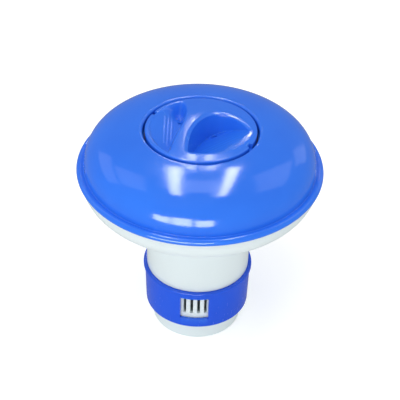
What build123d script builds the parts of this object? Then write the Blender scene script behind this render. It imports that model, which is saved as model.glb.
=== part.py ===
from build123d import *
import math
import os

# Floating chlorine dispenser, millimetres. The origin is the centre of the foot, +Z up along the axis of
# symmetry, and the front (the side the control ring's window faces) is -Y.

os.makedirs("parts", exist_ok=True)

# ---------------------------------------------------------------- driving dimensions
RIM_RADIUS = 65.0  # outermost reach of the rim bead
RIM_HEIGHT = 101.2  # mid-height of the rim bead
WALL = 2.2  # moulded wall of the float and the tube
GAP = 0.35  # free space between two mouldings that move past each other
FRONT = -90.0  # azimuth of the front, degrees from +X

# rim bead and dome
BEAD_RADIUS = 1.9
BEAD_CENTRE = RIM_RADIUS - BEAD_RADIUS
RIM_FACE = RIM_HEIGHT - BEAD_RADIUS  # the plane where the blue and white halves meet
DOME_RADIUS = RIM_RADIUS - 4.0
DOME_RISE = 25.6
DOME_POWER = 3.1
DOME_BASE = RIM_HEIGHT - 0.9
VALLEY_HEIGHT = RIM_HEIGHT + 1.2  # the groove between bead and dome

# cap well in the top of the dome
WELL_RADIUS = 30.3
WELL_LIP = 0.8
WELL_TOP = 125.0
LEDGE_TOP = 119.0
LEDGE_BOTTOM = 116.5
THROAT_RADIUS = 26.0
SLEEVE_RADIUS = 28.65  # inside of the sleeve that is bonded round the chamber tube
SLEEVE_BOTTOM = 92.0
SKIRT_DEPTH = 3.8  # locating skirt inside the bowl's rim
SKIRT_GAP = 0.2  # between the skirt and the bowl's lining at the skirt's lower edge
LEDGE_NOTCH_SPARE = 2.4  # the ledge's notches are this much wider than the cap's lugs
LEDGE_NOTCH_INNER = 20.0  # where the notch tools start, well inside the throat

# white bowl and tablet tube
BOWL_RADIUS = RIM_RADIUS - 1.7
BOWL_DEPTH = 25.1
BOWL_POWER = 2.5
BOWL_TOP = RIM_HEIGHT - 0.8
TUBE_RADIUS = 28.6  # neck, and the chamber tube inside the float
TUBE_TOP = 111.5
NECK_BLEND = 3.0
COLLAR_RADIUS = TUBE_RADIUS + NECK_BLEND  # the tube's collar, which closes the middle of the bowl
SHOULDER_RADIUS = 28.0
SHOULDER_HEIGHT = 37.5  # underside of the neck, just above the control ring
SEAT_RADIUS = 26.9  # the control ring turns on this
SEAT_BOTTOM = 12.4
FOOT_TOP_RADIUS = 24.9
FOOT_RADIUS = 24.5
FOOT_EDGE = 1.2
FLOOR_THICKNESS = 2.5
SNAP_HEIGHT = 33.7  # snap bead of the ring and its groove
SNAP_DEPTH = 0.7
GROOVE_HALF = 0.5  # half the groove's floor, which its 45 degree sides then widen
BEAD_FLAT = 0.15  # half the flat on the snap bead
BORE_TAPER = 3.0  # height over which the chamber's bore narrows to the seat's bore

# dosing slots and the window that uncovers them
SLOT_WIDTH = 1.6
SLOT_BOTTOM = 20.7
SLOT_TOP = 31.8
SLOT_PITCH = 8.15  # degrees
SLOT_COUNT = 4
SLOT_TURN = -1.4  # the group sits this far off the front, degrees
SIDES = (0.0, 180.0)  # front group and back group

# control ring
RING_BOTTOM = 12.1
RING_TOP = 37.2
RING_BORE = SEAT_RADIUS + GAP
RING_FOOT_RADIUS = 28.5
RING_WALL_RADIUS = 29.2
RING_LIP_RADIUS = 30.0
RING_LIP_HEIGHT = 2.0
RING_EDGE = 0.3  # small bevels at the ring's lower edge and under its lip
LIP_EDGE = 0.5  # the lip's softened top edge
LIP_UNDERCUT = 0.4  # height of the slope under the lip
WINDOW_TOOL_INNER = 5.0  # how far inside the wall the window's tool starts
WINDOW_TOOL_LENGTH = 12.0
WINDOW_WIDTH = 16.2
WINDOW_BOTTOM = 17.8
WINDOW_TOP = 32.6
WINDOW_CORNER = 0.5
WINDOW_TURN = -2.2

# cap
CAP_RADIUS = 29.1
CAP_EDGE = 0.7
CAP_RISE = 2.0  # the crown's bulge above its edge
FLANGE_BOTTOM = 120.9
PLUG_RADIUS = 25.2
PLUG_BOTTOM = 112.4
CAP_WALL = 2.0
LUG_RADIUS = 27.2
LUG_BOTTOM = 113.2
LUG_TOP = 116.2
LUG_WIDTH = 13.0
LUG_AZIMUTH = -28.5
NOTCH_WIDTH = 3.5
NOTCH_DEPTH = 1.5
NOTCH_HEIGHT = 3.0
LUG_ROOT = 1.5  # how far a lug is let into the plug's wall
VENT_LENGTH = 2.2
VENT_WIDTH = 0.8
VENT_TOOL_HEIGHT = 16.0
SPARE = 1.0  # how far a cutting tool runs past what it cuts

# cap seal
SEAL_INNER = LUG_RADIUS + GAP
SEAL_OUTER = 29.6
SEAL_CLEARANCE = 0.05  # above and below the seal
SEAL_BOTTOM = LEDGE_TOP + SEAL_CLEARANCE
SEAL_TOP = FLANGE_BOTTOM - SEAL_CLEARANCE
SEAL_ROUNDING = 0.3

TALL = 60.0  # length of cutting tools that run right through
INSIDE_SHARE = 0.25  # this share of the way to its farthest corner is a point inside a recess

# finger recesses of the cap: (x, y) corners of each outline, and its floor as a tilted plane
RIGHT_GRIP_EDGE = [(-6.6, -25.0), (-6.2, -13.0), (-4.4, -3.0), (-0.6, 5.6), (4.0, 10.6), (9.5, 12.6)]
RIGHT_BACK_EDGE = [(15.0, 11.0), (20.5, 6.4), (25.6, -0.8)]
RIGHT_RIM = (0.4, 3.0, 25.2)  # x, y and radius of the circle that closes the recess at the rim
RIGHT_FLOOR = [(25.0, -1.0, 124.7), (5.0, 10.0, 113.9), (-5.7, -12.0, 116.7)]
LEFT_GRIP_EDGE = [(-15.4, -19.0), (-12.4, -6.0), (-9.4, 4.5), (-8.1, 13.0)]
LEFT_BACK_EDGE = [(-8.2, 19.0), (-10.4, 24.0), (-15.0, 26.0)]
LEFT_RIM = (0.0, 0.0, 26.3)
LEFT_FLOOR = [(-26.0, 0.0, 124.6), (-9.5, 8.0, 121.2), (-12.0, 22.0, 121.4)]
SCOOP_CENTRE = (-12.2, 12.8, 122.8)  # rounded deep end of the left recess
SCOOP_RADIUS = 6.2
VENTS = [(6.9, 6.6), (-10.9, 9.0)]


# ---------------------------------------------------------------- helpers
def superellipse(radius, height, power, base, first_radius, last_radius, count=22):
    """Points (r, z) of a superellipse quarter between two radii; a negative height hangs down."""
    first = math.acos(min(1.0, (first_radius / radius) ** (power / 2)))
    last = math.acos(min(1.0, (last_radius / radius) ** (power / 2)))
    points = []
    for step in range(count + 1):
        angle = first + (last - first) * step / count
        r = radius * math.cos(angle) ** (2 / power)
        z = base + height * math.sin(angle) ** (2 / power)
        points.append((r, z))
    return points


def radius_at(height, radius, depth, power, base):
    """Radius of a superellipse at one height."""
    return radius * (1 - (abs(height - base) / abs(depth)) ** power) ** (1 / power)


def turned(azimuth, radius, height=0.0):
    """A frame at an azimuth and radius: x outwards, y sideways, z up."""
    turn = math.radians(azimuth)
    out = (math.cos(turn), math.sin(turn), 0)
    return Plane(origin=(radius * out[0], radius * out[1], height), x_dir=out, z_dir=(0, 0, 1))


def half_space_above(corners):
    """A big block whose underside is the plane through three points."""
    a, b, c = (Vector(*corner) for corner in corners)
    normal = (b - a).cross(c - a).normalized()
    if normal.Z < 0:
        normal = normal * -1
    with BuildPart() as block:
        with BuildSketch(Plane(origin=a, z_dir=normal)):
            Rectangle(4 * TALL, 4 * TALL)
        extrude(amount=TALL)
    return block.part


def moved_out(points, centre, distance):
    """The points moved away from a centre, square to the line they make."""
    result = []
    for index, (x, y) in enumerate(points):
        before = points[max(index - 1, 0)]
        after = points[min(index + 1, len(points) - 1)]
        along = Vector(after[0] - before[0], after[1] - before[1]).normalized()
        out = Vector(along.Y, -along.X)
        if out.dot(Vector(x - centre[0], y - centre[1])) < 0:
            out = out * -1
        result.append((x + distance * out.X, y + distance * out.Y))
    return result


def recess_prism(side_points, far_corners, rim, grow=0.0):
    """Upright prism over a recess: a curved side along the grip, closed by a circle near the cap's rim."""
    centre = (far_corners[1][0] * INSIDE_SHARE, far_corners[1][1] * INSIDE_SHARE)
    side = moved_out(side_points, centre, grow)
    with BuildPart() as prism:
        with BuildSketch(Plane.XY.offset(WELL_TOP - TALL / 2)):
            with BuildLine():
                Spline(*side)
                Polyline(side[-1], *far_corners, side[0])
            make_face()
            with Locations(rim[:2]):
                Circle(rim[2] + grow, mode=Mode.INTERSECT)
        extrude(amount=TALL)
    return prism.part


def recess_tool(side_points, far_corners, rim, floor, grow=0.0):
    """The material removed for one recess (or, grown by a wall, the shell around it)."""
    lowered = [(x, y, z - grow) for x, y, z in floor]
    prism = recess_prism(side_points, far_corners, rim, grow)
    return prism & half_space_above(lowered)


def sector_tools(width, inner, outer, low, high, azimuths):
    """Blocks that stand radially at several azimuths, from an inner to an outer radius."""
    with BuildPart() as tools:
        for azimuth in azimuths:
            with BuildSketch(turned(azimuth, (inner + outer) / 2, low)):
                Rectangle(outer - inner, width)
            extrude(amount=high - low)
    return tools.part


# ---------------------------------------------------------------- float dome (blue, upper half of the float)
dome_outer = superellipse(DOME_RADIUS, DOME_RISE, DOME_POWER, DOME_BASE,
                          radius_at(VALLEY_HEIGHT, DOME_RADIUS, DOME_RISE, DOME_POWER, DOME_BASE),
                          WELL_RADIUS + WELL_LIP)
dome_inner_radius = DOME_RADIUS - WALL
dome_inner_rise = DOME_RISE - WALL
well_wall_radius = WELL_RADIUS + WALL
dome_inner = superellipse(dome_inner_radius, dome_inner_rise, DOME_POWER, DOME_BASE,
                          dome_inner_radius, well_wall_radius)
lip_top = dome_outer[-1][1]
diagonal = BEAD_RADIUS * math.sqrt(0.5)
sleeve_wall_radius = SLEEVE_RADIUS + WALL
bowl_inner_radius = BOWL_RADIUS - WALL
bowl_inner_depth = BOWL_DEPTH - WALL
skirt_bottom = RIM_FACE - SKIRT_DEPTH
skirt_outer = radius_at(skirt_bottom, bowl_inner_radius, bowl_inner_depth, BOWL_POWER, BOWL_TOP) - SKIRT_GAP
lip_middle_offset = WELL_LIP * (1 - math.sqrt(0.5))

lug_azimuths = [LUG_AZIMUTH, LUG_AZIMUTH + 180]
ledge_notches = sector_tools(LUG_WIDTH + LEDGE_NOTCH_SPARE, LEDGE_NOTCH_INNER, SEAL_INNER,
                             LEDGE_BOTTOM - SPARE / 2, LEDGE_TOP + SPARE / 2, lug_azimuths)

with BuildPart() as float_dome:
    with BuildSketch(Plane.XZ):
        with BuildLine():
            Polyline((dome_inner_radius, skirt_bottom), (skirt_outer, skirt_bottom),
                     (skirt_outer, RIM_FACE), (BEAD_CENTRE, RIM_FACE))
            ThreePointArc((BEAD_CENTRE, RIM_FACE), (RIM_RADIUS, RIM_HEIGHT),
                          (BEAD_CENTRE - diagonal, RIM_HEIGHT + diagonal))
            Line((BEAD_CENTRE - diagonal, RIM_HEIGHT + diagonal), dome_outer[0])
            Spline(*dome_outer)
            lip_end = (WELL_RADIUS, lip_top - WELL_LIP)
            lip_middle = (WELL_RADIUS + lip_middle_offset, lip_top - lip_middle_offset)
            ThreePointArc(dome_outer[-1], lip_middle, lip_end)
            Polyline(lip_end, (WELL_RADIUS, LEDGE_TOP), (THROAT_RADIUS, LEDGE_TOP),
                     (THROAT_RADIUS, LEDGE_BOTTOM), (SLEEVE_RADIUS, LEDGE_BOTTOM),
                     (SLEEVE_RADIUS, SLEEVE_BOTTOM),
                     (sleeve_wall_radius, SLEEVE_BOTTOM), (sleeve_wall_radius, LEDGE_BOTTOM),
                     (well_wall_radius, LEDGE_BOTTOM + WALL), dome_inner[-1])
            Spline(*dome_inner)
            Line(dome_inner[0], (dome_inner_radius, skirt_bottom))
        make_face()
    revolve(axis=Axis.Z)
    add(ledge_notches, mode=Mode.SUBTRACT)

# ---------------------------------------------------------------- float bowl (white, lower half of the float)
bowl_outer = superellipse(BOWL_RADIUS, -BOWL_DEPTH, BOWL_POWER, BOWL_TOP,
                          radius_at(RIM_FACE, BOWL_RADIUS, BOWL_DEPTH, BOWL_POWER, BOWL_TOP), COLLAR_RADIUS)
bowl_inner = superellipse(bowl_inner_radius, -bowl_inner_depth, BOWL_POWER, BOWL_TOP,
                          radius_at(RIM_FACE, bowl_inner_radius, bowl_inner_depth, BOWL_POWER, BOWL_TOP),
                          COLLAR_RADIUS)
collar_bottom = bowl_outer[-1][1]
collar_top = bowl_inner[-1][1]

with BuildPart() as float_bowl:
    with BuildSketch(Plane.XZ):
        with BuildLine():
            Spline(*bowl_outer)
            Line(bowl_outer[-1], bowl_inner[-1])
            Spline(*bowl_inner)
            Line(bowl_inner[0], bowl_outer[0])
        make_face()
    revolve(axis=Axis.Z)

# ---------------------------------------------------------------- tablet tube (collar, neck, slots, foot)
blend_low = collar_bottom - NECK_BLEND
blend_middle = (TUBE_RADIUS + NECK_BLEND * (1 - math.sqrt(0.5)), blend_low + NECK_BLEND * math.sqrt(0.5))
tube_bore = TUBE_RADIUS - WALL
seat_bore = SEAT_RADIUS - WALL
foot_bore = FOOT_RADIUS - WALL
groove_radius = SEAT_RADIUS - SNAP_DEPTH
groove_low = SNAP_HEIGHT - GROOVE_HALF
groove_high = SNAP_HEIGHT + GROOVE_HALF
edge_middle = FOOT_EDGE * (1 - math.sqrt(0.5))

slot_azimuths = []
for side in SIDES:
    for index in range(SLOT_COUNT):
        slot_azimuths.append(FRONT + side + SLOT_TURN + SLOT_PITCH * (index - (SLOT_COUNT - 1) / 2))
slot_cutters = sector_tools(SLOT_WIDTH, foot_bore - SPARE, TUBE_RADIUS, SLOT_BOTTOM, SLOT_TOP, slot_azimuths)

with BuildPart() as tablet_tube:
    with BuildSketch(Plane.XZ):
        with BuildLine():
            Line((0, 0), (FOOT_RADIUS - FOOT_EDGE, 0))
            ThreePointArc((FOOT_RADIUS - FOOT_EDGE, 0), (FOOT_RADIUS - edge_middle, edge_middle),
                          (FOOT_RADIUS, FOOT_EDGE))
            Polyline((FOOT_RADIUS, FOOT_EDGE), (FOOT_TOP_RADIUS, SEAT_BOTTOM), (SEAT_RADIUS, SEAT_BOTTOM),
                     (SEAT_RADIUS, groove_low - SNAP_DEPTH), (groove_radius, groove_low),
                     (groove_radius, groove_high), (SEAT_RADIUS, groove_high + SNAP_DEPTH),
                     (SEAT_RADIUS, SHOULDER_HEIGHT), (SHOULDER_RADIUS, SHOULDER_HEIGHT),
                     (TUBE_RADIUS, blend_low))
            ThreePointArc((TUBE_RADIUS, blend_low), blend_middle, (COLLAR_RADIUS, collar_bottom))
            Polyline((COLLAR_RADIUS, collar_bottom), (COLLAR_RADIUS, collar_top), (TUBE_RADIUS, collar_top),
                     (TUBE_RADIUS, TUBE_TOP), (tube_bore, TUBE_TOP),
                     (tube_bore, SHOULDER_HEIGHT + BORE_TAPER), (seat_bore, SHOULDER_HEIGHT),
                     (seat_bore, SEAT_BOTTOM + WALL), (foot_bore, SEAT_BOTTOM), (foot_bore, FLOOR_THICKNESS),
                     (0, FLOOR_THICKNESS), (0, 0))
        make_face()
    revolve(axis=Axis.Z)
    add(slot_cutters, mode=Mode.SUBTRACT)

# ---------------------------------------------------------------- control ring
lip_bottom = RING_TOP - RING_LIP_HEIGHT
lip_middle_height = RING_TOP - RING_LIP_HEIGHT / 2
snap_radius = RING_BORE - SNAP_DEPTH
window_middle = (WINDOW_BOTTOM + WINDOW_TOP) / 2
with BuildPart() as window_tools:
    for side in SIDES:
        frame = turned(FRONT + side + WINDOW_TURN, RING_WALL_RADIUS - WINDOW_TOOL_INNER, window_middle)
        with BuildSketch(Plane(origin=frame.origin, x_dir=frame.y_dir, z_dir=frame.x_dir)):
            RectangleRounded(WINDOW_WIDTH, WINDOW_TOP - WINDOW_BOTTOM, WINDOW_CORNER)
        extrude(amount=WINDOW_TOOL_LENGTH)

with BuildPart() as control_ring:
    with BuildSketch(Plane.XZ):
        with BuildLine():
            Polyline((RING_BORE, RING_BOTTOM), (RING_FOOT_RADIUS - RING_EDGE, RING_BOTTOM),
                     (RING_FOOT_RADIUS, RING_BOTTOM + RING_EDGE),
                     (RING_WALL_RADIUS, lip_bottom - LIP_UNDERCUT), (RING_LIP_RADIUS - RING_EDGE, lip_bottom))
            ThreePointArc((RING_LIP_RADIUS - RING_EDGE, lip_bottom), (RING_LIP_RADIUS, lip_middle_height),
                          (RING_LIP_RADIUS - LIP_EDGE, RING_TOP))
            Polyline((RING_LIP_RADIUS - LIP_EDGE, RING_TOP), (RING_BORE, RING_TOP),
                     (RING_BORE, SNAP_HEIGHT + SNAP_DEPTH), (snap_radius, SNAP_HEIGHT + BEAD_FLAT),
                     (snap_radius, SNAP_HEIGHT - BEAD_FLAT), (RING_BORE, SNAP_HEIGHT - SNAP_DEPTH),
                     (RING_BORE, RING_BOTTOM))
        make_face()
    revolve(axis=Axis.Z)
    add(window_tools.part, mode=Mode.SUBTRACT)

# ---------------------------------------------------------------- twist cap
crown_top = WELL_TOP + CAP_RISE
crown_sphere = (CAP_RADIUS ** 2 + CAP_RISE ** 2) / (2 * CAP_RISE)
crown_edge = crown_top - crown_sphere + math.sqrt(crown_sphere ** 2 - (CAP_RADIUS - CAP_EDGE) ** 2)
half_way = CAP_RADIUS / 2
crown_half = crown_top - crown_sphere + math.sqrt(crown_sphere ** 2 - half_way ** 2)
right_side = RIGHT_GRIP_EDGE + RIGHT_BACK_EDGE
left_side = LEFT_GRIP_EDGE + LEFT_BACK_EDGE
right_far = [(TALL, 0.0), (TALL, -TALL), (right_side[0][0], -TALL)]
left_far = [(left_side[-1][0], TALL), (-TALL, 0.0), (left_side[0][0], -TALL)]

scoop = Pos(*SCOOP_CENTRE) * Sphere(SCOOP_RADIUS)
scoop_shell = Pos(*SCOOP_CENTRE) * Sphere(SCOOP_RADIUS + CAP_WALL)
left_column = recess_prism(left_side, left_far, LEFT_RIM)
right_recess = recess_tool(right_side, right_far, RIGHT_RIM, RIGHT_FLOOR)
left_recess = recess_tool(left_side, left_far, LEFT_RIM, LEFT_FLOOR) + (left_column & scoop)
recess_walls = recess_tool(right_side, right_far, RIGHT_RIM, RIGHT_FLOOR, CAP_WALL)
recess_walls += recess_tool(left_side, left_far, LEFT_RIM, LEFT_FLOOR, CAP_WALL)
recess_walls += recess_prism(left_side, left_far, LEFT_RIM, CAP_WALL) & scoop_shell

with BuildPart() as underside:
    with BuildSketch(Plane.XY.offset(PLUG_BOTTOM - SPARE)):
        Circle(PLUG_RADIUS - CAP_WALL)
    extrude(amount=WELL_TOP - CAP_WALL - PLUG_BOTTOM + SPARE)
hollow = underside.part - recess_walls

edge_notches = sector_tools(NOTCH_WIDTH, CAP_RADIUS - NOTCH_DEPTH, CAP_RADIUS + SPARE,
                            WELL_TOP - NOTCH_HEIGHT, WELL_TOP + 2 * SPARE, lug_azimuths)
lugs = sector_tools(LUG_WIDTH, PLUG_RADIUS - LUG_ROOT, LUG_RADIUS + SPARE, LUG_BOTTOM, LUG_TOP, lug_azimuths)
lug_limit = Pos(0, 0, (LUG_BOTTOM + LUG_TOP) / 2) * Cylinder(LUG_RADIUS, TALL)
vent_tools = Part()
for vent_x, vent_y in VENTS:
    vent_tools += Pos(vent_x, vent_y, PLUG_BOTTOM) * Box(VENT_LENGTH, VENT_WIDTH, VENT_TOOL_HEIGHT)

with BuildPart() as twist_cap:
    with BuildSketch(Plane.XZ):
        with BuildLine():
            Polyline((0, PLUG_BOTTOM), (PLUG_RADIUS, PLUG_BOTTOM), (PLUG_RADIUS, FLANGE_BOTTOM),
                     (CAP_RADIUS, FLANGE_BOTTOM), (CAP_RADIUS, crown_edge - CAP_EDGE),
                     (CAP_RADIUS - CAP_EDGE, crown_edge))
            ThreePointArc((CAP_RADIUS - CAP_EDGE, crown_edge), (half_way, crown_half), (0, crown_top))
            Line((0, crown_top), (0, PLUG_BOTTOM))
        make_face()
    revolve(axis=Axis.Z)
    add(hollow, mode=Mode.SUBTRACT)
    add(lugs & lug_limit)
    add(right_recess, mode=Mode.SUBTRACT)
    add(left_recess, mode=Mode.SUBTRACT)
    add(edge_notches, mode=Mode.SUBTRACT)
    add(vent_tools, mode=Mode.SUBTRACT)

# ---------------------------------------------------------------- cap seal
with BuildPart() as cap_seal:
    with BuildSketch(Plane.XY.offset(SEAL_BOTTOM)):
        Circle(SEAL_OUTER)
        Circle(SEAL_INNER, mode=Mode.SUBTRACT)
    extrude(amount=SEAL_TOP - SEAL_BOTTOM)
    fillet(cap_seal.edges(), radius=SEAL_ROUNDING)

# ---------------------------------------------------------------- one file per piece
pieces = {
    "float_dome": float_dome,
    "float_bowl": float_bowl,
    "tablet_tube": tablet_tube,
    "control_ring": control_ring,
    "twist_cap": twist_cap,
    "cap_seal": cap_seal,
}
for piece_name, piece in pieces.items():
    piece.part.label = piece_name
    export_step(piece.part, f"parts/{piece_name}.step")
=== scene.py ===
import math

import bpy
import numpy as np
from mathutils import Matrix, Vector


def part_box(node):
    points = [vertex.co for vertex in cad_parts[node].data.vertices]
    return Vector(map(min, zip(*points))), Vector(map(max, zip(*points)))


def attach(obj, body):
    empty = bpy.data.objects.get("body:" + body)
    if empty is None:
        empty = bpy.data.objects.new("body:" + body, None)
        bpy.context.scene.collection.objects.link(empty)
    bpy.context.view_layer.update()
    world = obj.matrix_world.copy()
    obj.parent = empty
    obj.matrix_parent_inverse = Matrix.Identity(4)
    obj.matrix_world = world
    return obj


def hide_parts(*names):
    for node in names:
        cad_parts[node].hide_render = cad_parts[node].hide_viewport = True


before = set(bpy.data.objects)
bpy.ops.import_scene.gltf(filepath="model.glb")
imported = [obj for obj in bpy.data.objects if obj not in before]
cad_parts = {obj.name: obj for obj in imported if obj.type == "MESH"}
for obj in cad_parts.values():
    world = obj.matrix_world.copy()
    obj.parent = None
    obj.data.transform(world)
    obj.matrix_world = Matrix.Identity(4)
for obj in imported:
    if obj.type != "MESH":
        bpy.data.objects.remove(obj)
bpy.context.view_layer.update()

# ---------------------------------------------------------------- the frame's own measures, in metres
MM = 0.001
dome_low, dome_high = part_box("float_dome")
bowl_low, bowl_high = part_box("float_bowl")
tube_low, tube_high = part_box("tablet_tube")
ring_low, ring_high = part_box("control_ring")
cap_low, cap_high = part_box("twist_cap")
seal_low, seal_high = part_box("cap_seal")

RIM_RADIUS = dome_high.x
LIP_HEIGHT = dome_high.z
SLEEVE_BOTTOM = dome_low.z
TUBE_TOP = tube_high.z
RING_LIP_RADIUS = ring_high.x
RING_BOTTOM = ring_low.z
RING_TOP = ring_high.z
CAP_RADIUS = cap_high.x
CROWN_TOP = cap_high.z
PLUG_BOTTOM = cap_low.z
FLANGE_BOTTOM = seal_high.z + 0.05 * MM

SECTORS = 360  # round the axis, on every turned piece
CAP_SECTORS = 720  # the cap's are finer, for its recesses
FRONT = math.radians(-90)
NOTCH_SIDE = 0.001  # angle taken up by a notch's steep side
CLOSEST_ANGLES = 0.004  # no regular sector edge stands nearer than this to an opening's side
SNAP_HEIGHT = 33.7 * MM  # snap bead of the ring, and its groove in the seat
SNAP_DEPTH = 0.7 * MM
LUG_AZIMUTH = math.radians(-28.5)


# ---------------------------------------------------------------- mesh helpers
def superellipse(radius, height, power, base, first_radius, last_radius, count=48):
    """Points (r, z) on a superellipse quarter; a negative height hangs down from the base."""
    first = math.acos(min(1.0, (first_radius / radius) ** (power / 2)))
    last = math.acos(min(1.0, (last_radius / radius) ** (power / 2)))
    points = []
    for step in range(count + 1):
        angle = first + (last - first) * step / count
        r = radius * math.cos(angle) ** (2 / power)
        z = base + height * math.sin(angle) ** (2 / power)
        points.append((r, z))
    return points


def superellipse_radius(height, radius, depth, power, base):
    """Radius of that superellipse at one height."""
    return radius * (1 - (abs(height - base) / depth) ** power) ** (1 / power)


def rounded(corners, steps=5):
    """An open line through (r, z, rounding) corners, each corner replaced by an arc."""
    points = []
    for index, (r, z, rounding) in enumerate(corners):
        if rounding == 0 or index in (0, len(corners) - 1):
            points.append((r, z))
            continue
        here = Vector((r, z))
        back = Vector(corners[index - 1][:2]) - here
        ahead = Vector(corners[index + 1][:2]) - here
        angle = back.angle(ahead)
        reach = min(rounding / math.tan(angle / 2), 0.49 * back.length, 0.49 * ahead.length)
        start = here + back.normalized() * reach
        end = here + ahead.normalized() * reach
        for step in range(steps + 1):
            t = step / steps
            point = start * (1 - t) ** 2 + here * 2 * t * (1 - t) + end * t ** 2
            points.append((point.x, point.y))
    return points


def with_heights(profile, heights):
    """The closed profile with extra points where its sides pass the given heights."""
    result = []
    for index, (r, z) in enumerate(profile):
        next_r, next_z = profile[(index + 1) % len(profile)]
        result.append((r, z))
        crossed = [h for h in heights if min(z, next_z) + 1e-7 < h < max(z, next_z) - 1e-7]
        crossed.sort(reverse=next_z < z)
        for h in crossed:
            share = (h - z) / (next_z - z)
            result.append((r + (next_r - r) * share, h))
    return result


def mesh_object(name, vertices, faces, sharp_degrees=35):
    """A smooth-shaded mesh object whose edges are sharp above an angle."""
    mesh = bpy.data.meshes.new(name)
    mesh.from_pydata(vertices, [], faces)
    mesh.validate()
    mesh.polygons.foreach_set("use_smooth", [True] * len(mesh.polygons))
    mesh.set_sharp_from_angle(angle=math.radians(sharp_degrees))
    made = bpy.data.objects.new(name, mesh)
    bpy.context.scene.collection.objects.link(made)
    return made


def turned_shell(name, profile, openings=(), notches=()):
    """A closed profile turned about the axis.

    Each opening is (first angle, last angle, low z, high z). It goes through the wall, from outside to bore.
    Each notch is (first angle, last angle, reach, low z, high z, shift). Between its angles, the points
    inside the reach and between the heights stand further out by the shift."""
    heights = sorted({h for opening in openings for h in opening[2:]})
    profile = with_heights(profile, heights)
    angles = {round(2 * math.pi * k / SECTORS, 6) for k in range(SECTORS)}
    for first, last, _, _ in openings:
        angles = {a for a in angles if abs(a - first) > CLOSEST_ANGLES and abs(a - last) > CLOSEST_ANGLES}
        angles |= {round(first, 6), round(last, 6)}
    for notch in notches:
        for side, outwards in ((notch[0], -1), (notch[1], 1)):
            angles = {a for a in angles if abs(a - side) > CLOSEST_ANGLES}
            angles |= {round(side, 6), round(side + outwards * NOTCH_SIDE, 6)}
    angles = sorted(angles)
    count = len(profile)
    vertices = []
    index_of = {}
    for k, angle in enumerate(angles):
        for i, (r, z) in enumerate(profile):
            for first, last, reach, low, high, shift in notches:
                if first - 1e-5 <= angle <= last + 1e-5 and r < reach and low <= z <= high:
                    r += shift
            if r < 1e-7:
                key = ("axis", i)
            else:
                key = (k, i)
            if key not in index_of:
                index_of[key] = len(vertices)
                vertices.append((r * math.cos(angle), r * math.sin(angle), z))

    def vertex(k, i):
        i = i % count
        if profile[i][0] < 1e-7:
            return index_of[("axis", i)]
        return index_of[(k % len(angles), i)]

    def open_at(k, i):
        middle = (profile[i][1] + profile[(i + 1) % count][1]) / 2
        flat = abs(profile[i][1] - profile[(i + 1) % count][1]) < 1e-7
        for first, last, low, high in openings:
            if not flat and low < middle < high and first - 1e-5 <= angles[k] < last - 1e-5:
                return True
        return False

    faces = []
    for k in range(len(angles)):
        for i in range(count):
            if open_at(k, i):
                continue
            corners = [vertex(k, i), vertex(k + 1, i), vertex(k + 1, i + 1), vertex(k, i + 1)]
            unique = list(dict.fromkeys(corners))
            if len(unique) > 2:
                faces.append(unique)
    for first, last, low, high in openings:
        inside = [i for i, (r, z) in enumerate(profile) if low - 1e-7 <= z <= high + 1e-7 and r > 1e-7]
        tops = [i for i in inside if abs(profile[i][1] - high) < 1e-7]
        bottoms = [i for i in inside if abs(profile[i][1] - low) < 1e-7]
        k_first = angles.index(round(first, 6))
        k_last = angles.index(round(last, 6))
        faces.append([vertex(k_first, i) for i in inside])
        faces.append([vertex(k_last, i) for i in reversed(inside)])
        for k in range(k_first, k_last):
            faces.append([vertex(k, i) for i in tops] + [vertex(k + 1, i) for i in reversed(tops)])
            faces.append([vertex(k + 1, i) for i in bottoms] + [vertex(k, i) for i in reversed(bottoms)])
    return mesh_object(name, vertices, faces)


def wrapped(angle):
    """An angle brought into 0..2 pi."""
    return angle % (2 * math.pi)


# ---------------------------------------------------------------- float dome
WALL = 2.2 * MM
BEAD = 1.9 * MM
rim_height = LIP_HEIGHT - 23.63 * MM
bead_centre = RIM_RADIUS - BEAD
rim_face = rim_height - BEAD
DOME_POWER = 3.1
dome_radius = RIM_RADIUS - 4.0 * MM
dome_rise = 25.6 * MM
SKIRT_DEPTH = 3.8 * MM
SKIRT_THICKNESS = 1.2 * MM
VALLEY = 1.2 * MM  # the groove between bead and dome lies this far above the rim's middle
VALLEY_RADIUS = 1.1 * MM
LEDGE_EDGE = 0.4 * MM
NOTCH_HALF = 7.7 / 27.2  # half of a ledge notch, as an angle
NOTCH_SHIFT = 1.55 * MM
dome_base = rim_height - 0.9 * MM
WELL_RADIUS = 30.3 * MM
WELL_LIP = 1.3 * MM
ledge_top = seal_low.z - 0.05 * MM
ledge_bottom = ledge_top - 2.5 * MM
throat_radius = 26.0 * MM
sleeve_radius = 28.65 * MM


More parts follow.
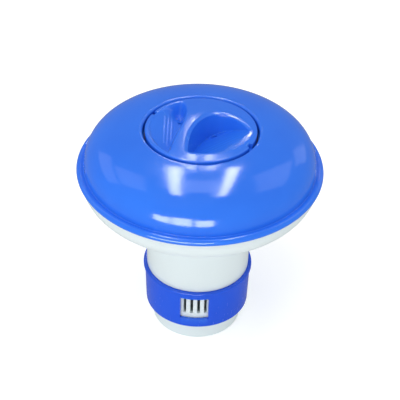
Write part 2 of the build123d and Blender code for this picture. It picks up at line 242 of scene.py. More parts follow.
def build_dome():
    """Rim bead, domed skin, rounded lip, cap well with its ledge, and the sleeve below it."""
    valley = rim_height + VALLEY
    valley_radius = superellipse_radius(valley, dome_radius, dome_rise, DOME_POWER, dome_base)
    foot_height = valley + 1.7 * MM  # where the groove's arc has run out into the dome
    skin_foot = superellipse_radius(foot_height, dome_radius, dome_rise, DOME_POWER, dome_base)
    skin = superellipse(dome_radius, dome_rise, DOME_POWER, dome_base, skin_foot, WELL_RADIUS + WELL_LIP, 90)
    lining = superellipse(dome_radius - WALL, dome_rise - WALL, DOME_POWER, dome_base,
                          dome_radius - WALL, WELL_RADIUS + WALL)
    bead = []
    for step in range(19):
        angle = math.radians(-90 + 195 * step / 18)
        bead.append((bead_centre + BEAD * math.cos(angle), rim_height + BEAD * math.sin(angle)))
    groove = rounded([(*bead[-1], 0), (valley_radius, valley, VALLEY_RADIUS), (skin_foot, foot_height, 0)])
    groove = groove[1:-1]
    lip = []
    for step in range(1, 9):
        angle = math.radians(90 + 90 * step / 8)
        lip.append((WELL_RADIUS + WELL_LIP + WELL_LIP * math.cos(angle),
                    skin[-1][1] - WELL_LIP + WELL_LIP * math.sin(angle)))
    sleeve_wall = sleeve_radius + WALL
    well = rounded([(lip[-1][0], lip[-1][1] - 0.3 * MM, 0), (WELL_RADIUS, ledge_top, 0.5 * MM),
                    (throat_radius, ledge_top, LEDGE_EDGE), (throat_radius, ledge_bottom, LEDGE_EDGE),
                    (sleeve_radius, ledge_bottom, 0), (sleeve_radius, SLEEVE_BOTTOM, 0),
                    (sleeve_wall, SLEEVE_BOTTOM, 0), (sleeve_wall, ledge_bottom, 0),
                    (WELL_RADIUS + WALL, ledge_bottom + WALL, 0)])
    skirt_radius = dome_radius - WALL
    skirt_outer = skirt_radius + SKIRT_THICKNESS
    skirt_bottom = rim_face - SKIRT_DEPTH
    skirt = [(skirt_radius, skirt_bottom), (skirt_outer, skirt_bottom), (skirt_outer, rim_face)]
    profile = skirt + bead + groove + skin + lip + well + lining[::-1]
    spare = 0.1 * MM
    notches = []
    for side in (0, math.pi):
        middle = wrapped(LUG_AZIMUTH + side)
        notches.append((middle - NOTCH_HALF, middle + NOTCH_HALF, throat_radius + LEDGE_EDGE + spare,
                        ledge_bottom - spare, ledge_top + spare, NOTCH_SHIFT))
    made = turned_shell("float_dome_skin", profile, notches=notches)
    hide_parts("float_dome")
    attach(made, "float")
    return made


# ---------------------------------------------------------------- float body
SLOT_BOTTOM = 20.7 * MM
SLOT_TOP = 31.8 * MM
SLOT_WIDTH = 1.6 * MM
SLOT_PITCH = math.radians(8.15)
SLOT_COUNT = 4
SLOT_TURN = math.radians(-1.4)
seat_radius = 26.9 * MM
tube_radius = 28.6 * MM


def slot_openings():
    """The two groups of dosing slots, as openings of the tube's wall."""
    half = SLOT_WIDTH / 2 / seat_radius
    openings = []
    for side in (0, math.pi):
        for index in range(SLOT_COUNT):
            middle = wrapped(FRONT + side + SLOT_TURN + SLOT_PITCH * (index - (SLOT_COUNT - 1) / 2))
            openings.append((middle - half, middle + half, SLOT_BOTTOM, SLOT_TOP))
    return openings


def build_body():
    """Bowl, neck, ring seat, foot and the chamber tube inside, as one moulding."""
    bowl_power = 2.5
    bowl_depth = 25.1 * MM
    bowl_radius = RIM_RADIUS - 1.7 * MM
    bowl_top = rim_height - 0.8 * MM
    inner_depth = bowl_depth - WALL
    inner_radius = bowl_radius - WALL
    blend = 3.0 * MM
    edge = 0.4 * MM
    rim_outer = superellipse_radius(rim_face, bowl_radius, bowl_depth, bowl_power, bowl_top)
    rim_inner = superellipse_radius(rim_face, inner_radius, inner_depth, bowl_power, bowl_top)
    neck_edge = tube_radius + blend
    outside = superellipse(bowl_radius, -bowl_depth, bowl_power, bowl_top, rim_outer, neck_edge, 70)
    lining = superellipse(inner_radius, -inner_depth, bowl_power, bowl_top, rim_inner, tube_radius + edge)
    blend_low = outside[-1][1] - blend
    neck_blend = []
    for step in range(1, 10):
        angle = math.radians(180 - 83 * step / 10)
        neck_blend.append((neck_edge + blend * math.cos(angle), blend_low + blend * math.sin(angle)))
    shoulder = RING_TOP + 0.06 * MM
    shoulder_radius = 28.0 * MM
    seat_bottom = 12.4 * MM
    foot_radius = 24.5 * MM
    foot_top_radius = 24.9 * MM
    groove_half = 0.5 * MM
    groove_radius = seat_radius - SNAP_DEPTH
    groove_low = SNAP_HEIGHT - groove_half
    groove_high = SNAP_HEIGHT + groove_half
    tube_bore = tube_radius - WALL
    seat_bore = seat_radius - WALL
    foot_bore = foot_radius - WALL
    floor = 2.5 * MM
    lower = rounded([(0, 0, 0), (foot_radius, 0, 1.6 * MM), (foot_top_radius, seat_bottom, 0.2 * MM),
                     (seat_radius, seat_bottom, 0.3 * MM), (seat_radius, groove_low - SNAP_DEPTH, 0),
                     (groove_radius, groove_low, 0), (groove_radius, groove_high, 0),
                     (seat_radius, groove_high + SNAP_DEPTH, 0), (seat_radius, shoulder, 0),
                     (shoulder_radius, shoulder, 0.25 * MM), (tube_radius, blend_low, 0)])
    inner = rounded([(tube_radius, lining[-1][1] + edge, 0), (tube_radius, TUBE_TOP, 0.5 * MM),
                     (tube_bore, TUBE_TOP, 0.5 * MM), (tube_bore, shoulder + 3 * MM, 1 * MM),
                     (seat_bore, shoulder, 1 * MM), (seat_bore, seat_bottom + WALL, 1 * MM),
                     (foot_bore, seat_bottom, 1 * MM), (foot_bore, floor, 1.2 * MM), (0, floor, 0)])
    profile = lower + neck_blend + outside[::-1] + lining + inner
    made = turned_shell("white_moulding", profile, slot_openings())
    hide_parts("float_bowl", "tablet_tube")
    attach(made, "float")
    return made


# ---------------------------------------------------------------- control ring
WINDOW_WIDTH = 16.2 * MM
WINDOW_BOTTOM = 17.8 * MM
WINDOW_TOP = 32.6 * MM
WINDOW_TURN = math.radians(-2.2)


def build_ring():
    """Tapered band with a rounded lip along its top, a snap bead in its bore and two windows."""
    wall_radius = 29.2 * MM
    foot_radius = 28.5 * MM
    bore = 27.25 * MM
    bevel = 0.3 * MM
    lip_low = RING_TOP - 2.0 * MM
    lip = 0.75 * MM
    corners = [(bore + bevel, RING_BOTTOM, 0), (foot_radius, RING_BOTTOM, 0.35 * MM),
               (wall_radius, lip_low - 0.5 * MM, 0.5 * MM), (RING_LIP_RADIUS, lip_low, lip),
               (RING_LIP_RADIUS, RING_TOP, lip), (bore, RING_TOP, 0.4 * MM),
               (bore, SNAP_HEIGHT + SNAP_DEPTH, 0), (bore - SNAP_DEPTH, SNAP_HEIGHT, 0.2 * MM),
               (bore, SNAP_HEIGHT - SNAP_DEPTH, 0), (bore, RING_BOTTOM + bevel, 0)]
    half = WINDOW_WIDTH / 2 / wall_radius
    openings = []
    for side in (0, math.pi):
        middle = wrapped(FRONT + side + WINDOW_TURN)
        openings.append((middle - half, middle + half, WINDOW_BOTTOM, WINDOW_TOP))
    made = turned_shell("control_ring_band", rounded(corners), openings)
    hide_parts("control_ring")
    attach(made, "ring")
    return made


# ---------------------------------------------------------------- twist cap
CROWN_RISE = 2.0 * MM
crown_edge = CROWN_TOP - CROWN_RISE
crown_sphere = (CAP_RADIUS ** 2 + CROWN_RISE ** 2) / (2 * CROWN_RISE)
RIGHT_GRIP_SIDE = [(-6.6, -25.0), (-6.2, -13.0), (-4.4, -3.0), (-0.6, 5.6), (4.0, 10.6), (9.5, 12.6),
                   (15.0, 11.0), (20.5, 6.4), (25.6, -0.8)]
LEFT_GRIP_SIDE = [(-15.4, -19.0), (-12.4, -6.0), (-9.4, 4.5), (-8.1, 13.0), (-8.2, 19.0), (-10.4, 24.0),
                  (-15.0, 26.0)]
RIGHT_RIM = (0.4, 3.0, 25.2)  # x, y and radius of the circle that closes the recess at the rim
LEFT_RIM = (0.0, 0.0, 26.3)
RIGHT_FLOOR = [(25.0, -1.0, -0.3), (5.0, 10.0, -11.1), (-5.7, -12.0, -8.3)]
LEFT_FLOOR = [(-26.0, 0.0, -0.2), (-20.0, 17.0, -0.2), (-9.5, 5.0, -3.4)]
WALL_SLOPE = 4.5  # depth gained per step inwards on the right recess's wall
FLANK_SLOPE = 2.2  # the same on the ridge's softer left flank
ROLL_WIDTH = 2.4 * MM  # the crown starts to roll over this far before the right recess
ROLL_RADIUS = 5.0 * MM
ROLL_FADE = 3.0 * MM  # the roll fades out over this, across the rim circle
CORNER_BLEND = 1.5 * MM  # rounding, seen from above, where the grip side meets the rim circle
SCOOP_MIDDLE = (-11.2, 18.0)
SCOOP_WIDTHS = (3.8, 6.5)
SCOOP_DEPTH = 4.0 * MM
BAR_RELIEF = 0.20 * MM
RIGHT_BAR_SHARE = 0.35  # the right recess's bars are this much of the left's
VENT_DEPTH = 2.6 * MM
LUG_RADIUS = 27.2 * MM
PLUG_RADIUS = 25.2 * MM
PLUG_EDGE = 0.4 * MM
CAP_WALL = 1.8 * MM
THINNEST = 0.5 * MM  # the underside stays this far above the plug's lower edge
NOTCH_HALF_WIDTH = 1.75 * MM
NOTCH_DEPTH = 1.5 * MM
LUG_HALF_WIDTH = 6.5 * MM
TINY_STEP = 0.1 * MM  # height over which a lug or notch steps out


def smooth_lower(a, b, blend):
    """The lower of two values, rounded where they cross."""
    share = np.clip(0.5 + 0.5 * (b - a) / blend, 0, 1)
    return b + (a - b) * share - blend * share * (1 - share)


def smooth_higher(a, b, blend):
    """The higher of two values, rounded where they cross."""
    return -smooth_lower(-a, -b, blend)


def curve_through(points, per_span=14):
    """A smooth line through (x, y) points, in metres (Catmull-Rom)."""
    knots = [Vector(p) * MM for p in points]
    knots = [knots[0] * 2 - knots[1]] + knots + [knots[-1] * 2 - knots[-2]]
    line = []
    for i in range(1, len(knots) - 2):
        p0, p1, p2, p3 = knots[i - 1:i + 3]
        for step in range(per_span):
            t = step / per_span
            line.append(0.5 * ((2 * p1) + (p2 - p0) * t + (2 * p0 - 5 * p1 + 4 * p2 - p3) * t ** 2
                               + (3 * p1 - p0 - 3 * p2 + p3) * t ** 3))
    line.append(knots[-2])
    return np.array([tuple(p) for p in line])


def inside_distance(x, y, line, inner_side):
    """How far each (x, y) lies on the inner side of the line, negative beyond it."""
    best = np.full(x.shape, 1.0)
    signed = np.zeros(x.shape)
    for a, b in zip(line[:-1], line[1:]):
        along = b - a
        share = np.clip(((x - a[0]) * along[0] + (y - a[1]) * along[1]) / (along @ along), 0, 1)
        away_x = x - (a[0] + share * along[0])
        away_y = y - (a[1] + share * along[1])
        distance = np.hypot(away_x, away_y)
        side = np.sign((along[0] * away_y - along[1] * away_x) * inner_side)
        nearer = distance < best - 1e-9
        best = np.where(nearer, distance, best)
        signed = np.where(nearer, distance * side, signed)
    return signed


def plane_height(x, y, corners):
    """Height above the crown's edge of the plane through three (x, y, z) corners given in millimetres."""
    a, b, c = (Vector(corner) * MM for corner in corners)
    normal = (b - a).cross(c - a)
    return a.z - ((x - a.x) * normal.x + (y - a.y) * normal.y) / normal.z


def bars(x, y, centre, direction, length, pitch, count):
    """Height of plain raised bars, side by side: 1 on a bar, 0 off it."""
    turn = math.radians(direction)
    along = (x - centre[0] * MM) * math.cos(turn) + (y - centre[1] * MM) * math.sin(turn)
    across = -(x - centre[0] * MM) * math.sin(turn) + (y - centre[1] * MM) * math.cos(turn)
    index = np.round(across / pitch)
    reach = length / 2 * (1 - 0.16 * (np.abs(index * 7 + 3) % 3))
    on_line = np.abs(across - index * pitch) / pitch
    height = 0.5 + 0.5 * np.cos(2 * math.pi * on_line)
    height *= np.clip((reach - np.abs(along)) / (1.2 * MM), 0, 1)
    return np.where(np.abs(index) <= (count - 1) / 2, height, 0)


def pit(x, y, centre, length, width):
    """1 inside a small slot, 0 outside it."""
    across_x = np.clip((length / 2 - np.abs(x - centre[0] * MM)) / (0.12 * MM) + 0.5, 0, 1)
    across_y = np.clip((width / 2 - np.abs(y - centre[1] * MM)) / (0.12 * MM) + 0.5, 0, 1)
    return across_x * across_y


def bowl_of(x, y, middle, widths):
    """1 in the middle of a soft oval hollow, fading to 0 outside it."""
    away = ((x - middle[0] * MM) / (widths[0] * MM)) ** 2 + ((y - middle[1] * MM) / (widths[1] * MM)) ** 2
    return np.exp(-away)


def reach_into(x, y, side, inner_side, rim):
    """How far inside a recess each (x, y) lies: past its grip side, inside its rim circle, and past both."""
    past_side = inside_distance(x, y, curve_through(side), inner_side)
    inside_rim = rim[2] * MM - np.hypot(x - rim[0] * MM, y - rim[1] * MM)
    return past_side, inside_rim, smooth_lower(past_side, inside_rim, CORNER_BLEND)


def walled(within, floor_depth, slope, edge_blend, foot_blend):
    """Depth of a recess: a wall of one slope, then the floor, rounded at the wall's top and foot."""
    cut = smooth_lower(slope * (within + edge_blend / 4), floor_depth, foot_blend)
    return smooth_higher(cut, 0 * cut, edge_blend)


def right_recess(x, y, crown):
    """Depth of the larger recess: a rolled edge, a steep wall and a floor that rises to the rim."""
    past_side, inside_rim, within = reach_into(x, y, RIGHT_GRIP_SIDE, -1, RIGHT_RIM)
    floor_depth = crown - (crown_edge + plane_height(x, y, RIGHT_FLOOR))
    floor_depth = smooth_higher(floor_depth, -0.6 * MM, 0.8 * MM)
    on_roll = np.clip(past_side + ROLL_WIDTH, 0, ROLL_WIDTH)
    short_of_rim = np.clip((inside_rim + ROLL_FADE / 2) / ROLL_FADE, 0, 1)
    roll = on_roll ** 2 / (2 * ROLL_RADIUS) * short_of_rim
    return np.maximum(roll, walled(within, floor_depth, WALL_SLOPE, 0.3 * MM, 0.4 * MM))


def left_recess(x, y, crown):
    """Depth of the smaller recess: the ridge's soft flank, a nearly flat facet and a scoop at the back."""
    within = reach_into(x, y, LEFT_GRIP_SIDE, 1, LEFT_RIM)[2]
    floor_depth = crown - (crown_edge + plane_height(x, y, LEFT_FLOOR))
    floor_depth = floor_depth + SCOOP_DEPTH * bowl_of(x, y, SCOOP_MIDDLE, SCOOP_WIDTHS)
    return walled(within, floor_depth, FLANK_SLOPE, 1.6 * MM, 1.6 * MM)


def cap_top(x, y):
    """Height of the cap's upper surface over each (x, y): the crown less its two recesses."""
    r = np.hypot(x, y)
    crown = CROWN_TOP - crown_sphere + np.sqrt(crown_sphere ** 2 - np.minimum(r, CAP_RADIUS) ** 2)
    depth = np.maximum(right_recess(x, y, crown), left_recess(x, y, crown))
    relief = RIGHT_BAR_SHARE * bars(x, y, (9.5, -9.0), 28, 24 * MM, 3.0 * MM, 4)
    relief = relief + bars(x, y, (-16.8, 1.5), 90, 27 * MM, 1.8 * MM, 4)
    vents = pit(x, y, (6.9, 6.6), 2.4 * MM, 1.5 * MM) + pit(x, y, (-10.9, 9.0), 2.2 * MM, 1.4 * MM)
    in_recess = np.clip((depth - 0.5 * MM) / (1.0 * MM), 0, 1)
    return crown - depth + BAR_RELIEF * relief * in_recess - VENT_DEPTH * vents


def build_cap():
    """Crown with its recesses, edge notches, flange, plug with two lugs and a thin underside."""
    angles = np.linspace(0, 2 * math.pi, CAP_SECTORS, endpoint=False)
    top_radii = np.concatenate([[0], np.arange(0.2, 28.3, 0.2)]) * MM
    off_lug = np.minimum(np.abs(np.angle(np.exp(1j * (angles - LUG_AZIMUTH)))),
                         np.abs(np.angle(np.exp(1j * (angles - LUG_AZIMUTH - math.pi)))))
    in_notch = off_lug < NOTCH_HALF_WIDTH / CAP_RADIUS
    in_lug = off_lug < LUG_HALF_WIDTH / LUG_RADIUS
    edge_radius = np.where(in_notch, CAP_RADIUS - NOTCH_DEPTH, CAP_RADIUS)
    side_low = FLANGE_BOTTOM + 1.1 * MM
    lug_radius = np.where(in_lug, LUG_RADIUS, PLUG_RADIUS)
    lug_top = FLANGE_BOTTOM - 4.7 * MM
    lug_bottom = lug_top - 3.0 * MM
    rounding = 0.7 * MM
    bevel = 0.3 * MM

    rings = []
    for r in top_radii:
        reach = np.minimum(r, edge_radius - rounding)
        x = reach * np.cos(angles)
        y = reach * np.sin(angles)
        rings.append((reach, cap_top(x, y)))
    rim_z = crown_edge + 0.04 * MM
    for step in range(1, 6):
        turn = math.radians(90 * step / 5)
        rings.append((edge_radius - rounding + rounding * math.sin(turn),
                      np.full(angles.shape, rim_z - rounding + rounding * math.cos(turn))))
    level = np.ones(angles.shape)
    rings.append((edge_radius, level * (side_low + TINY_STEP / 2)))
    rings.append((level * CAP_RADIUS, level * side_low))
    rings.append((level * CAP_RADIUS, level * (FLANGE_BOTTOM + bevel)))
    rings.append((level * (CAP_RADIUS - bevel), level * FLANGE_BOTTOM))
    rings.append((level * PLUG_RADIUS, level * FLANGE_BOTTOM))
    rings.append((level * PLUG_RADIUS, level * (lug_top + TINY_STEP)))
    rings.append((lug_radius, level * lug_top))
    rings.append((lug_radius, level * lug_bottom))
    rings.append((level * PLUG_RADIUS, level * (lug_bottom - TINY_STEP)))
    rings.append((level * PLUG_RADIUS, level * (PLUG_BOTTOM + PLUG_EDGE)))
    rings.append((level * (PLUG_RADIUS - PLUG_EDGE), level * PLUG_BOTTOM))
    bore = PLUG_RADIUS - 2.0 * MM
    rings.append((level * (bore + bevel), level * PLUG_BOTTOM))
    rings.append((level * bore, level * (PLUG_BOTTOM + bevel)))
    for r in list(np.arange(bore / MM, 0.5, -0.6)) + [0]:
        x = r * MM * np.cos(angles)
        y = r * MM * np.sin(angles)
        under = np.minimum(cap_top(x, y), crown_edge) - CAP_WALL
        rings.append((level * r * MM, np.maximum(under, PLUG_BOTTOM + THINNEST)))

    vertices = []
    starts = []
    for radius, height in rings:
        starts.append(len(vertices))
        if np.max(radius) < 1e-9:
            vertices.append((0, 0, float(np.mean(height))))
            continue
        x = (radius * np.cos(angles)).tolist()
        y = (radius * np.sin(angles)).tolist()
        vertices.extend(zip(x, y, height.tolist()))
    faces = []
    count = len(angles)
    for ring in range(len(rings) - 1):
        here, there = starts[ring], starts[ring + 1]
        for k in range(count):
            after = (k + 1) % count
            if ring == 0:
                faces.append((here, there + k, there + after))
            elif ring == len(rings) - 2:
                faces.append((here + after, here + k, there))
            else:
                faces.append((here + k, there + k, there + after, here + after))
    made = mesh_object("twist_cap_moulding", vertices, faces, 40)
    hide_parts("twist_cap")
    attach(made, "cap")
    return made


# ---------------------------------------------------------------- materials
class Nodes:
    """A short way to add and link shader nodes."""

    def __init__(self, name):
        self.material = bpy.data.materials.new(name)
        self.material.use_nodes = True
        self.tree = self.material.node_tree
        self.shader = self.tree.nodes["Principled BSDF"]
        self.place = self.add("ShaderNodeTexCoord").outputs["Object"]

    def add(self, kind, **settings):
        node = self.tree.nodes.new(kind)
        for key, value in settings.items():
            setattr(node, key, value)
        return node

    def link(self, source, target):
        self.tree.links.new(source, target)

    def noise(self, scale, detail=3.0, roughness=0.5):
        node = self.add("ShaderNodeTexNoise")
        node.inputs["Scale"].default_value = scale
        node.inputs["Detail"].default_value = detail
        node.inputs["Roughness"].default_value = roughness
        self.link(self.place, node.inputs["Vector"])
        return node.outputs["Fac"]

    def spread(self, source, low, high, out_low, out_high):
        node = self.add("ShaderNodeMapRange")
        node.inputs["From Min"].default_value = low
        node.inputs["From Max"].default_value = high
        node.inputs["To Min"].default_value = out_low
        node.inputs["To Max"].default_value = out_high
        self.link(source, node.inputs["Value"])
        return node.outputs["Result"]

    def mix(self, share, first, second):
        node = self.add("ShaderNodeMix", data_type="RGBA")
        self.link(share, node.inputs["Factor"])
        for socket, value in ((node.inputs[6], first), (node.inputs[7], second)):
            if isinstance(value, tuple):
                socket.default_value = (*value, 1)
            else:
                self.link(value, socket)
        return node.outputs[2]

    def total(self, a, b, operation="ADD"):
        node = self.add("ShaderNodeMath", operation=operation)
        self.link(a, node.inputs[0])
        if isinstance(b, float):
            node.inputs[1].default_value = b
        else:
            self.link(b, node.inputs[1])
        return node.outputs[0]


def moulded_plastic(name, colour, deeper, wear_and_sheen_colour, wear_and_sheen, roughness, smudge, ripple, relief):
    """Injection-moulded plastic: faint flow clouding, fine grain, paler edges and hairline scuffs. The paler
    edges are finger rubbing on dome, cap and white body, and a painted highlight on the ring.
    """
    n = Nodes(name)
    clouding = n.spread(n.noise(28, 2), 0.35, 0.65, 0, 1)
    base = n.mix(clouding, colour, deeper)
    # Sharp edges take a paler colour: finger rubbing on most pieces, a painted highlight on the ring.
    curvature = n.add("ShaderNodeNewGeometry").outputs["Pointiness"]
    edges = n.spread(curvature, 0.55, 0.66, 0, 1)
    patchy = n.spread(n.noise(260, 4), 0.35, 0.7, wear_and_sheen / 2, wear_and_sheen)
    wear_and_sheen_mask = n.total(edges, patchy, "MULTIPLY")
    n.link(n.mix(wear_and_sheen_mask, base, wear_and_sheen_colour), n.shader.inputs["Base Color"])

    scuff_stretch = n.add("ShaderNodeMapping")
    scuff_stretch.inputs["Scale"].default_value = (1.0, 6.0, 0.6)
    scuff_stretch.inputs["Rotation"].default_value = (0.3, 0.5, 0.9)
    n.link(n.place, scuff_stretch.inputs["Vector"])
    scuffs = n.add("ShaderNodeTexNoise")
    scuffs.inputs["Scale"].default_value = 420
    scuffs.inputs["Detail"].default_value = 2
    n.link(scuff_stretch.outputs["Vector"], scuffs.inputs["Vector"])
    hairlines = n.spread(scuffs.outputs["Fac"], 0.66, 0.74, 0, 1.5 * smudge)
    smudges = n.spread(n.noise(60, 4), 0.4, 0.75, roughness, roughness + smudge)
    rough = n.total(n.total(smudges, hairlines), n.spread(wear_and_sheen_mask, 0, 1, 0, 2 * smudge))
    n.link(rough, n.shader.inputs["Roughness"])

    sink = n.noise(ripple, 1.5, 0.4)
    grain = n.noise(2600, 2)
    height = n.total(sink, n.spread(grain, 0, 1, 0, 0.012))
    bump = n.add("ShaderNodeBump")
    bump.inputs["Strength"].default_value = relief
    bump.inputs["Distance"].default_value = 0.12 * MM
    n.link(height, bump.inputs["Height"])
    n.link(bump.outputs["Normal"], n.shader.inputs["Normal"])
    n.shader.inputs["IOR"].default_value = 1.5
    return n.material


def seal_rubber():
    """Soft rubber with a dusty bloom, coloured dark navy as painted shade of the gap between cap and dome,
    where its edge shows.
    """
    n = Nodes("seal_rubber")
    bloom = n.spread(n.noise(180, 5), 0.45, 0.75, 0, 1)
    # These navy tones are painted shade: they give the shaded gap between cap and dome its colour.
    n.link(n.mix(bloom, (0.006, 0.012, 0.07), (0.012, 0.024, 0.11)), n.shader.inputs["Base Color"])
    n.link(n.spread(bloom, 0, 1, 0.55, 0.8), n.shader.inputs["Roughness"])
    bump = n.add("ShaderNodeBump")
    bump.inputs["Strength"].default_value = 0.4
    bump.inputs["Distance"].default_value = 0.1 * MM
    n.link(n.noise(1500, 3), bump.inputs["Height"])
    n.link(bump.outputs["Normal"], n.shader.inputs["Normal"])
    return n.material


def give(piece, material):
    """The piece's only material."""
    piece.data.materials.clear()
    piece.data.materials.append(material)


def dome_blue():
    """The dome's glossy mid blue, its edges only slightly paled by rubbing."""
    return moulded_plastic("dome_plastic", colour=(0.028, 0.184, 0.86), deeper=(0.025, 0.168, 0.82),
                           wear_and_sheen_colour=(0.05, 0.22, 0.86), wear_and_sheen=0.3, roughness=0.10, smudge=0.07,
                           ripple=45, relief=0.35)


def cap_blue():
    """The cap's own blue: the dome's, with edges and bars paled by fingers' rubbing."""
    return moulded_plastic("cap_plastic", colour=(0.028, 0.184, 0.86), deeper=(0.025, 0.168, 0.82),
                           wear_and_sheen_colour=(0.10, 0.33, 0.92), wear_and_sheen=0.7, roughness=0.10, smudge=0.06,
                           ripple=45, relief=0.30)


def ring_blue():
    """The ring's deeper blue, with a painted highlight: its lip and other sharp edges are painted a paler
    blue.
    """
    # The paler edge colour and its large share are a painted highlight along the lip, not finger rubbing.
    return moulded_plastic("ring_plastic", colour=(0.005, 0.088, 0.72), deeper=(0.004, 0.074, 0.67),
                           wear_and_sheen_colour=(0.06, 0.30, 0.85), wear_and_sheen=0.7, roughness=0.22, smudge=0.05,
                           ripple=60, relief=0.35)


def bowl_white():
    """Clean, faintly blue-green white that lets a little light through its wall."""
    material = moulded_plastic("white_plastic", colour=(0.72, 0.80, 0.808), deeper=(0.714, 0.795, 0.803),
                               wear_and_sheen_colour=(0.73, 0.81, 0.815), wear_and_sheen=0.5, roughness=0.30, smudge=0.012,
                               ripple=40, relief=0.03)
    shader = material.node_tree.nodes["Principled BSDF"]
    shader.inputs["Subsurface Weight"].default_value = 0.25
    shader.inputs["Subsurface Radius"].default_value = (1.0, 1.0, 1.0)
    shader.inputs["Subsurface Scale"].default_value = 3 * MM
    return material


give(build_dome(), dome_blue())
give(build_body(), bowl_white())
give(build_ring(), ring_blue())
give(build_cap(), cap_blue())
give(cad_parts["cap_seal"], seal_rubber())


# ---------------------------------------------------------------- floor, light and camera
def build_floor():
    """A plain pale sweep: level under the part and curving gently up far behind it."""
    reach = 1.6
    vertices = []
    faces = []
    columns = 24
    rows = 24
    for row in range(rows + 1):
        y = -reach + 2 * reach * row / rows
        rise = max(0.0, y - 0.9) ** 2 * 0.9
        for column in range(columns + 1):
            x = -reach + 2 * reach * column / columns
            vertices.append((x, y, rise))
    for row in range(rows):
        for column in range(columns):
            corner = row * (columns + 1) + column
            faces.append((corner, corner + 1, corner + columns + 2, corner + columns + 1))
    floor = mesh_object("floor", vertices, faces)
    n = Nodes("pale_floor")
    n.link(n.mix(n.noise(6, 3), (0.93, 0.93, 0.93), (0.96, 0.96, 0.96)), n.shader.inputs["Base Color"])
    n.shader.inputs["Roughness"].default_value = 0.9
    n.shader.inputs["Specular IOR Level"].default_value = 0.1
    n.shader.inputs["Emission Color"].default_value = (1.0, 1.0, 1.0, 1)
    n.shader.inputs["Emission Strength"].default_value = 0.30
    give(floor, n.material)
    floor.visible_glossy = False
    return floor


def panel(name, centre, width, height, radiance, target, along=(0, 0, 1), fills=False):
    """A flat rectangular lamp facing the target, its height along a direction.

    One that fills lights surfaces and isn't reflected; the others are only seen in reflections."""
    data = bpy.data.lights.new(name, "AREA")
    data.shape = "RECTANGLE"
    data.size = width
    data.size_y = height
    data.energy = radiance * math.pi * width * height
    light = bpy.data.objects.new(name, data)
    back = (Vector(centre) - Vector(target)).normalized()
    side = Vector(along).cross(back).normalized()
    rise = back.cross(side)
    light.matrix_world = Matrix((
        (side.x, rise.x, back.x, centre[0]),
        (side.y, rise.y, back.y, centre[1]),
        (side.z, rise.z, back.z, centre[2]),
        (0, 0, 0, 1)))
    bpy.context.scene.collection.objects.link(light)
    light.visible_camera = False
    light.visible_glossy = not fills
    light.visible_diffuse = fills
    return light


CAMERA_ELEVATION = math.radians(36.27)
CAMERA_ROLL = math.radians(1.53)
CAMERA_DISTANCE = 0.685
CAMERA_PITCH = math.radians(-1.496)
CAMERA_YAW = math.radians(-0.036)
LENS = 117.0


def build_camera():
    """The photograph's view: from the front, looking down on the rim, with a slight roll."""
    data = bpy.data.cameras.new("camera")
    data.lens = LENS
    data.sensor_width = 36.0
    camera = bpy.data.objects.new("camera", data)
    right = Vector((1, 0, 0))
    ahead = Vector((0, math.cos(CAMERA_ELEVATION), -math.sin(CAMERA_ELEVATION)))
    up = right.cross(ahead)
    location = Vector((0, 0, rim_height)) - ahead * CAMERA_DISTANCE
    pitched = ahead * math.cos(CAMERA_PITCH) + up * math.sin(CAMERA_PITCH)
    up = right.cross(pitched)
    yawed = pitched * math.cos(CAMERA_YAW) - right * math.sin(CAMERA_YAW)
    side = right * math.cos(CAMERA_YAW) + pitched * math.sin(CAMERA_YAW)
    rolled_side = side * math.cos(CAMERA_ROLL) + up * math.sin(CAMERA_ROLL)
    rolled_up = up * math.cos(CAMERA_ROLL) - side * math.sin(CAMERA_ROLL)
    camera.matrix_world = Matrix((
        (rolled_side.x, rolled_up.x, -yawed.x, location.x),
        (rolled_side.y, rolled_up.y, -yawed.y, location.y),
        (rolled_side.z, rolled_up.z, -yawed.z, location.z),
        (0, 0, 0, 1)))
    bpy.context.scene.collection.objects.link(camera)
    bpy.context.scene.camera = camera


def build_world():
    """Even white studio surround, dimmer in reflections than as light, as a tent with dark gaps is."""
    world = bpy.data.worlds.new("studio")
    world.use_nodes = True
    tree = world.node_tree
    background = tree.nodes["Background"]
    background.inputs["Color"].default_value = (0.97, 0.985, 1.0, 1)
    path = tree.nodes.new("ShaderNodeLightPath")
    strength = tree.nodes.new("ShaderNodeMapRange")
    strength.inputs["To Min"].default_value = SURROUND_LIGHT
    strength.inputs["To Max"].default_value = SURROUND_REFLECTED
    tree.links.new(path.outputs["Is Glossy Ray"], strength.inputs["Value"])
    tree.links.new(strength.outputs["Result"], background.inputs["Strength"])
    bpy.context.scene.world = world


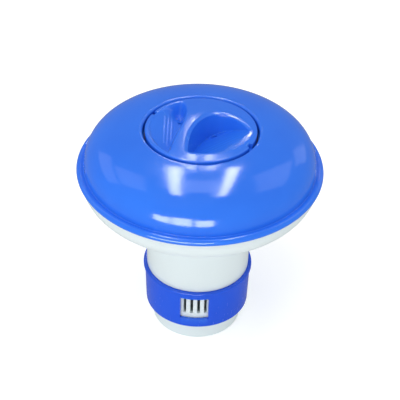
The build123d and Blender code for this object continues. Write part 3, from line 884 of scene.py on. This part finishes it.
def soft_panel(name, centre, width, height, radiance, target):
    """A lamp that fades towards its edges, as nested panels that add up to the radiance in the middle."""
    shares = (1.0, 0.85, 0.7, 0.55)
    for number, share in enumerate(shares):
        panel(f"{name}_{number}", centre, share * width, share * height, radiance / len(shares), target)


SURROUND_LIGHT = 0.72
SURROUND_REFLECTED = 0.30
middle = (0, 0, rim_height)

build_floor()
build_world()
build_camera()
panel("top_fill", (-0.3, -0.5, 1.6), 1.0, 1.0, 2.7, middle, fills=True)
panel("front_fill", (-0.60, -1.2, 0.45), 1.0, 0.5, 1.6, middle, fills=True)
panel("tube_lamp_left", (-0.20, 0.42, 1.3), 0.10, 0.95, 17, (-0.20, 0.42, 0), (0.11, 1, 0))
panel("tube_lamp_right", (0.224, 0.42, 1.3), 0.09, 0.95, 17, (0.224, 0.42, 0), (-0.03, 1, 0))
panel("ceiling_between", (0.0, 0.33, 1.35), 0.30, 0.45, 1.6, (0, 0.33, 0), (0, 1, 0))
panel("ridge_lamp", (-0.060, 1.55, 1.3), 0.024, 0.55, 34, (-0.060, 1.0, 0.2), (0.08, 1, 0))
for side, lamp_x in (("left", -0.056), ("right", 0.062)):
    panel(f"cap_lamp_{side}", (lamp_x, 0.98, 1.3), 0.04, 0.20, 20, (lamp_x, 0.4, 0.1), (0, 1, 0))
window_panes = ((-0.276, 0.160, 0.200), (-0.113, 0.138, 0.225), (0.040, 0.120, 0.190))  # centre, width, top
for number, (centre_x, width, top) in enumerate(window_panes):
    panel(f"window_pane_{number}", (centre_x, -0.45, top / 2 + 0.01), width, top - 0.02, 13,
          (centre_x, 0, top / 2))
soft_panel("wall_left_low", (-1.5, 0.7, 1.05), 1.15, 0.6, 2.9, middle)
soft_panel("wall_left_high", (-1.3, 0.5, 1.9), 1.0, 0.8, 2.9, middle)
soft_panel("wall_right_high", (1.5, 0.8, 2.0), 1.35, 1.15, 3.1, middle)
soft_panel("wall_right_low", (1.5, 1.5, 0.9), 0.6, 0.8, 2.9, middle)
bpy.context.scene.view_settings.view_transform = "Standard"
